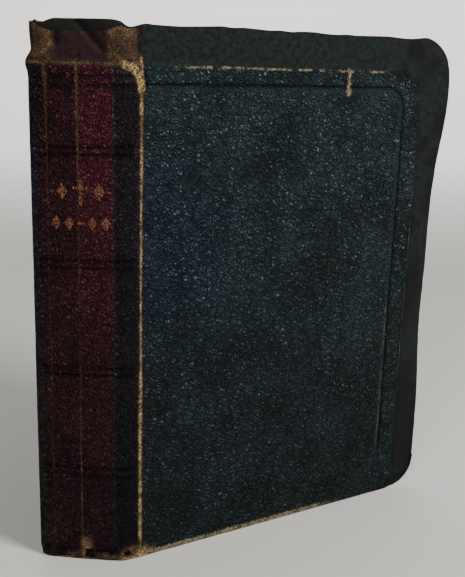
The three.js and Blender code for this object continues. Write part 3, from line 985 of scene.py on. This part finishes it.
def lining_piece(name, s_low, s_high, z_low):
    """Thin lining leather inside the case: the covers' inner sides, or a strip at the spine's head."""
    s = spread(s_low, s_high, 1.1, 6)
    rise = top_edge(s) - 0.7 + 1.2 * (1 - smooth(0, 12, over_cover(s)))
    standing = TOP_Z + 0.2 + 0.9 * bumps(s, 0, 9, 71)
    rise += (standing - rise) * (1 - smooth(-11, -1, over_cover(s)))
    floor = z_low + corner_cut(over_cover(s))
    z = np.array([floor + (rise - floor) * f for f in spread(0, 1, 1.1 / (TOP_Z - z_low))])
    s = np.broadcast_to(s, z.shape)
    x = over_cover(s)
    on_spine = 1 - smooth(-1.0, 1.5, x)
    inside_board = rounded_inside(x, z, BEYOND, BOARD_EDGE, BEYOND, BOARD_TOP, 6)
    over_board = smooth(-1.8, -0.2, inside_board) * (1 - on_spine)
    hidden = 2.07 + 1.05 * over_board - 0.85 * on_spine
    lift = fore_flap_shape(x, z) + spine_head_shape(s, z, on_spine)
    lift -= 0.05 * layered_noise(s, z, 3, 72)
    points, normal = place(widened(s, z), z - TAIL_FOLD + FOLD_ARC, lift, hidden)
    thickness = 0.45 - 0.25 * over_board
    uv = np.stack([s, z], -1) / UV_SPAN + 0.5
    piece = closed_sheet(name, points, normal, thickness, uv, lining)
    return piece


LINING_START = 1.6
STRIP_FOOT = cad_box("head_lining_front")[0][2]
JOINT_STRIP_FOOT = TEXT_HIGH[2] + 0.4
LINING_FOOT = 1.7

LININGS = (
    ("lining_front_fore_edge", FRONT_JOINT_S + PANEL_END, FRONT_JOINT_S + COVER_END - 0.7, LINING_FOOT,
     ("front_cover", "front_flap", FRONT_JOINT_S + FLAP_FOLD), ("front_flap_lining",)),
    ("lining_front_cover", FRONT_JOINT_S + LINING_START, FRONT_JOINT_S + PANEL_END, LINING_FOOT,
     None, ("front_head_lining",)),
    ("lining_head_front", CENTRE_HALF_S, FRONT_JOINT_S + LINING_START, JOINT_STRIP_FOOT,
     ("front_block", "front_cover", FRONT_JOINT_S), ()),
    ("lining_head_centre", MIDDLE_S, CENTRE_HALF_S, STRIP_FOOT,
     ("middle_block", "front_block", CENTRE_S), ("head_lining_front", "head_lining_middle")),
    ("lining_head_rear", REAR_HALF_S, MIDDLE_S, STRIP_FOOT,
     ("rear_block", "middle_block", REAR_S), ()),
    ("lining_head_back", BACK_JOINT_S - LINING_START, REAR_HALF_S, JOINT_STRIP_FOOT,
     ("back_cover", "rear_block", BACK_JOINT_S), ()),
    ("lining_back_cover", BACK_JOINT_S - PANEL_END, BACK_JOINT_S - LINING_START, LINING_FOOT,
     None, ("back_head_lining",)),
    ("lining_back_fore_edge", BACK_JOINT_S - COVER_END + 0.7, BACK_JOINT_S - PANEL_END, LINING_FOOT,
     ("back_flap", "back_cover", BACK_JOINT_S - FLAP_FOLD), ("back_flap_lining",)),
)

for name, s_low, s_high, z_low, fold, nodes in LININGS:
    piece = lining_piece(name, s_low, s_high, z_low)
    if fold:
        bend_at(piece, *fold)
    else:
        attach(piece, "front_cover" if "front" in name else "back_cover")
    if nodes:
        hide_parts(*nodes)


# ---- Pages ----

paper = aged_paper("endpaper", srgb(206, 190, 152), srgb(168, 142, 98))
edges = page_edges()


def loft(name, loops, uv_height, material, body):
    """A closed solid through equal loops of points, with flat ends."""
    count, around = loops.shape[:2]
    index = np.arange(count * around).reshape(count, around)
    after = np.roll(index, -1, axis=1)
    quads = np.stack([index[:-1], after[:-1], after[1:], index[1:]], -1).reshape(-1, 4)
    faces = quads.tolist() + [index[0, ::-1].tolist(), index[-1].tolist()]
    piece = new_object(name, loops, faces, 2)
    corners = corner_points(piece.data)
    u = (corners % around) / around
    v = (corners // around) / max(count - 1, 1) * uv_height / UV_SPAN
    add_uv(piece.data, np.stack([u, v], -1))
    piece.data.materials.append(material)
    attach(piece, body)
    return piece


def page_outline():
    """The leaves' outline in X and Z with its outward normals, anticlockwise seen from the front."""
    x0, x1, z0, z1 = TEXT_LOW[0], TEXT_HIGH[0], TEXT_LOW[2], TEXT_HIGH[2]
    radius = PAGE_CORNER
    points, normals = [], []

    def run(start, end, normal, steps):
        for t in np.linspace(0, 1, steps, endpoint=False):
            points.append(np.array(start) * (1 - t) + np.array(end) * t)
            normals.append(normal)

    def turn(centre, first, steps):
        for t in np.linspace(0, math.pi / 2, steps, endpoint=False):
            direction = np.array([math.cos(first + t), math.sin(first + t)])
            points.append(np.array(centre) + direction * radius)
            normals.append(direction)

    run((x0, z0), (x1 - radius, z0), (0, -1), 40)
    turn((x1 - radius, z0 + radius), -math.pi / 2, 10)
    run((x1, z0 + radius), (x1, z1 - radius), (1, 0), 60)
    turn((x1 - radius, z1 - radius), 0, 10)
    run((x1 - radius, z1), (x0, z1), (0, 1), 40)
    run((x0, z1), (x0, z0), (-1, 0), 30)
    return np.array(points), np.array(normals)


def page_block(name, y_low, y_high, body, nodes):
    """A bundle of leaves whose edges stand in and out by leaf and by section."""
    outline, normals = page_outline()
    rows = spread(y_low + 0.02, y_high - 0.02, 0.28, 4)
    free = np.clip((outline[:, 0] - TEXT_LOW[0]) / 12, 0, 1)
    loops = []
    for y in rows:
        leaf = 0.22 * bumps(y, 0.0, 0.3, 81)
        section = 0.30 * bumps(y, 0.0, 2.4, 82)
        slack = 0.25 * bumps(outline.sum(axis=1), y * 8, 30, 83)
        worn = 0.45 * math.exp(-min(y - y_low, y_high - y) / 0.5)
        offset = (leaf + section + slack - worn) * free - 0.15
        moved = outline + normals * offset[:, None]
        loops.append(np.stack([moved[:, 0], np.full(len(moved), y), moved[:, 1]], -1))
    piece = loft(name, np.array(loops)[:, ::-1], y_high - y_low, edges, body)
    piece.data.materials.append(paper)
    piece.data.polygons[-1].material_index = 1
    piece.data.polygons[-2].material_index = 1
    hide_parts(*nodes)


page_block("pages_front", TEXT_LOW[1], cad_box("gathering_4")[1][1], "front_block",
           [f"gathering_{i}" for i in (1, 2, 3, 4)])
page_block("pages_middle", cad_box("gathering_5")[0][1], cad_box("gathering_6")[1][1], "middle_block",
           ["gathering_5", "gathering_6"])
page_block("pages_rear", cad_box("gathering_7")[0][1], TEXT_BACK_Y, "rear_block", ["gathering_7"])


def flyleaf(side):
    """A free endpaper: a thin sheet with rounded corners and a slight cockle."""
    joint = hinge_mm(f"{side}_flyleaf_turn")
    sign = -1 if side == "front" else 1
    angle = -AJAR / 2 if side == "front" else 0.0
    along = np.array([math.cos(angle), math.sin(angle)])
    outward = sign * np.array([-math.sin(angle), math.cos(angle)])
    reach = TEXT_HIGH[0] - joint[0] - 1.2
    x = spread(0.5, reach, 2.0)
    run = np.clip(x - (reach - PAGE_CORNER), 0, PAGE_CORNER)
    cut = PAGE_CORNER - np.sqrt(np.maximum(PAGE_CORNER ** 2 - run ** 2, 0))
    low, high = TEXT_LOW[2] + 0.2 + cut, TEXT_HIGH[2] - 0.2 - cut
    z = np.array([low + (high - low) * f for f in np.linspace(0, 1, 88)])
    x = np.broadcast_to(x, z.shape)
    cockle = 0.34 * (layered_noise(x, z, 34, 91) - 0.5) * smooth(0, 30, x)
    flat_points = joint[:2] + along * x[..., None] + outward * (0.7 * cockle - 0.08)[..., None]
    points = np.concatenate([flat_points, z[..., None]], -1)
    normal = np.broadcast_to(np.append(outward, 0.0), points.shape)
    if sign > 0:
        points, normal, x, z = points[:, ::-1], normal[:, ::-1], x[:, ::-1], z[:, ::-1]
    uv = np.stack([x, z], -1) / UV_SPAN
    piece = closed_sheet(f"endpaper_{side}", points, normal, 0.24, uv, paper)
    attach(piece, f"{side}_flyleaf")
    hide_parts(f"{side}_flyleaf")


def inner_joint(side):
    """The paper that bridges from the text block to the cover inside the joint."""
    front = side == "front"
    sign = -1 if front else 1
    joint = FRONT_JOINT if front else BACK_JOINT
    text_side = np.array([TEXT_LOW[0] - 0.7, sign * (TEXT_BACK_Y + 0.4)])
    angle = -AJAR if front else 0.0
    along = np.array([math.cos(angle), math.sin(angle)])
    inward = -sign * np.array([-math.sin(angle), math.cos(angle)])
    cover_side = joint[:2] + along * 4.5 + inward * 3.95
    corner = joint[:2] + along * 0.25 + inward * 0.8
    into_corner = text_side + (corner - text_side) * np.linspace(0, 1, 7)[:, None]
    out_of_corner = corner + (cover_side - corner) * np.linspace(0.09, 1, 9)[:, None]
    path = np.concatenate([into_corner, out_of_corner])
    path[1:-1] = (path[:-2] + 2 * path[1:-1] + path[2:]) / 4
    tangent = np.gradient(path, axis=0)
    tangent /= np.hypot(*tangent.T)[:, None]
    outward = np.stack([tangent[:, 1], -tangent[:, 0]], -1) * (1 if front else -1)
    z = np.linspace(TEXT_LOW[2] + 1, TEXT_HIGH[2] - 1, 90)
    grid = np.array([[[x, y, height] for x, y in path] for height in z])
    normal = np.array([[[nx, ny, 0.0] for nx, ny in outward] for _ in z])
    cockle = 0.12 * bumps(grid[..., 2], grid[..., 0] * 3, 7, 95)
    grid = grid + normal * cockle[..., None]
    if not front:
        grid, normal = grid[:, ::-1], normal[:, ::-1]
    uv = grid[..., [0, 2]] / UV_SPAN
    piece = closed_sheet(f"inner_joint_{side}", grid, normal, 0.25, uv, paper)
    # All of the bend is close to the joint's axis, so the paper clears the flyleaf as it turns.
    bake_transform(piece)


for side in ("front", "back"):
    flyleaf(side)
    inner_joint(side)


# ---- Endbands, cloth and boards ----

silk = band_silk()


def endband(node, body):
    """A rolled silk band with a ridge for every turn of its sewing."""
    low, high = cad_box(node)
    centre, radius = (low + high) / 2, (high[2] - low[2]) / 2
    turns = np.linspace(0, 2 * math.pi, 20, endpoint=False)
    loops = []
    for y in spread(low[1] + 0.02, high[1] - 0.02, 0.12, 8):
        wave = 0.10 * np.abs(np.sin(math.pi * (y - low[1]) / 0.9 + turns / 2))
        ring = radius * 0.9 + wave
        loops.append(np.stack([centre[0] + ring * np.cos(turns), np.full(20, y),
                               centre[2] + ring * np.sin(turns)], -1))
    piece = loft(f"sewn_{node}", np.array(loops)[:, ::-1], high[1] - low[1], silk, body)
    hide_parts(node)


for place_name, body in (("front", "front_block"), ("middle", "middle_block"), ("rear", "rear_block")):
    for kind in ("headband", "tailband"):
        endband(f"{kind}_{place_name}", body)

# The CAD pieces that stay, and the looks they get by material slot.
KEPT_LOOKS = {
    "card": millboard(),
    "endpaper": paper,
    "cloth": woven_cloth("crash_cloth", srgb(178, 162, 128), srgb(96, 80, 56), 0.7),
}
SLOTS = {entry["node"]: entry["material_slot"] for entry in frame["record"]["subparts"]}
for node, obj in frame["nodes"].items():
    look = KEPT_LOOKS.get(SLOTS[node])
    if look is not None and not obj.hide_render:
        obj.data.materials.clear()
        obj.data.materials.append(look)


# ---- Camera, lights and floor ----

def add_camera():
    data = bpy.data.cameras.new("camera")
    camera = bpy.data.objects.new("camera", data)
    bpy.context.collection.objects.link(camera)
    azimuth, pitch, roll = math.radians(-86.4), math.radians(14.5), math.radians(-1.74)
    forward = Vector((-math.sin(azimuth) * math.cos(pitch), math.cos(azimuth) * math.cos(pitch),
                      -math.sin(pitch)))
    level = forward.cross(Vector((0, 0, 1))).normalized()
    down = forward.cross(level)
    right = level * math.cos(roll) + down * math.sin(roll)
    up = -(down * math.cos(roll) - level * math.sin(roll))
    rotation = Matrix((right, up, -forward)).transposed()
    # The eye's place is in board heights from the front joint's foot.
    eye = Vector((-1.632, -0.387, 1.005)) * BOARD_TOP * MM + Vector((FRONT_JOINT[0] * MM, 0, 0))
    camera.matrix_world = Matrix.Translation(eye) @ rotation.to_4x4()
    data.sensor_fit = "AUTO"
    data.sensor_width = 36.0
    data.lens = 55.2
    data.shift_x, data.shift_y = -0.003, 0.006
    data.clip_start = 0.01
    bpy.context.scene.camera = camera


def add_area(name, place_m, aim_m, size, power, colour):
    data = bpy.data.lights.new(name, "AREA")
    data.shape = "RECTANGLE"
    data.size, data.size_y = size
    data.energy = power
    data.color = colour
    light = bpy.data.objects.new(name, data)
    light.location = place_m
    light.rotation_euler = (Vector(aim_m) - Vector(place_m)).to_track_quat("-Z", "Y").to_euler()
    bpy.context.collection.objects.link(light)


def add_studio():
    aim = (0.02, -0.02, 0.10)
    add_area("key", (-0.42, -0.90, 0.58), aim, (0.34, 0.26), 20, (1.0, 0.99, 0.96))
    add_area("spine_fill", (-0.85, 0.22, 0.62), aim, (0.30, 0.30), 4, (1.0, 0.95, 0.92))
    add_area("rear_fill", (0.9, 0.5, 0.9), aim, (1.0, 0.8), 3, (0.95, 0.98, 1.0))
    add_area("backdrop_wash", (1.4, 0.0, 1.6), (3.0, 0.0, 0.7), (2.0, 1.0), 95, (1.0, 1.0, 0.98))
    world = bpy.data.worlds.new("studio")
    world.use_nodes = True
    world.node_tree.nodes["Background"].inputs["Color"].default_value = (0.86, 0.87, 0.86, 1)
    world.node_tree.nodes["Background"].inputs["Strength"].default_value = 0.09
    bpy.context.scene.world = world


def pale_surface():
    shader = Shader("pale_studio")
    shader.put(shader.surface.inputs["Base Color"], (0.60, 0.59, 0.57, 1))
    shader.put(shader.surface.inputs["Roughness"], 0.75)
    return shader.material


def add_floor():
    """A pale floor that curves up into a pale wall, all round the book."""
    flat_radius, curve, wall_height, around = 2.2, 0.8, 3.2, 48
    turn = np.linspace(0, math.pi / 2, 12)
    profile = [(flat_radius + curve * math.sin(t), curve - curve * math.cos(t)) for t in turn]
    profile.append((flat_radius + curve, wall_height))
    points = [(r * math.cos(a), r * math.sin(a), z) for r, z in profile
              for a in np.linspace(0, 2 * math.pi, around, endpoint=False)]
    faces = [tuple(range(around))]
    for ring in range(len(profile) - 1):
        for i in range(around):
            j = (i + 1) % around
            low, high = ring * around, (ring + 1) * around
            faces.append((low + i, high + i, high + j, low + j))
    mesh = bpy.data.meshes.new("floor")
    mesh.from_pydata(points, [], faces)
    mesh.polygons.foreach_set("use_smooth", [False] + [True] * (len(faces) - 1))
    mesh.materials.append(pale_surface())
    floor = bpy.data.objects.new("floor", mesh)
    bpy.context.collection.objects.link(floor)


add_camera()
add_studio()
add_floor()
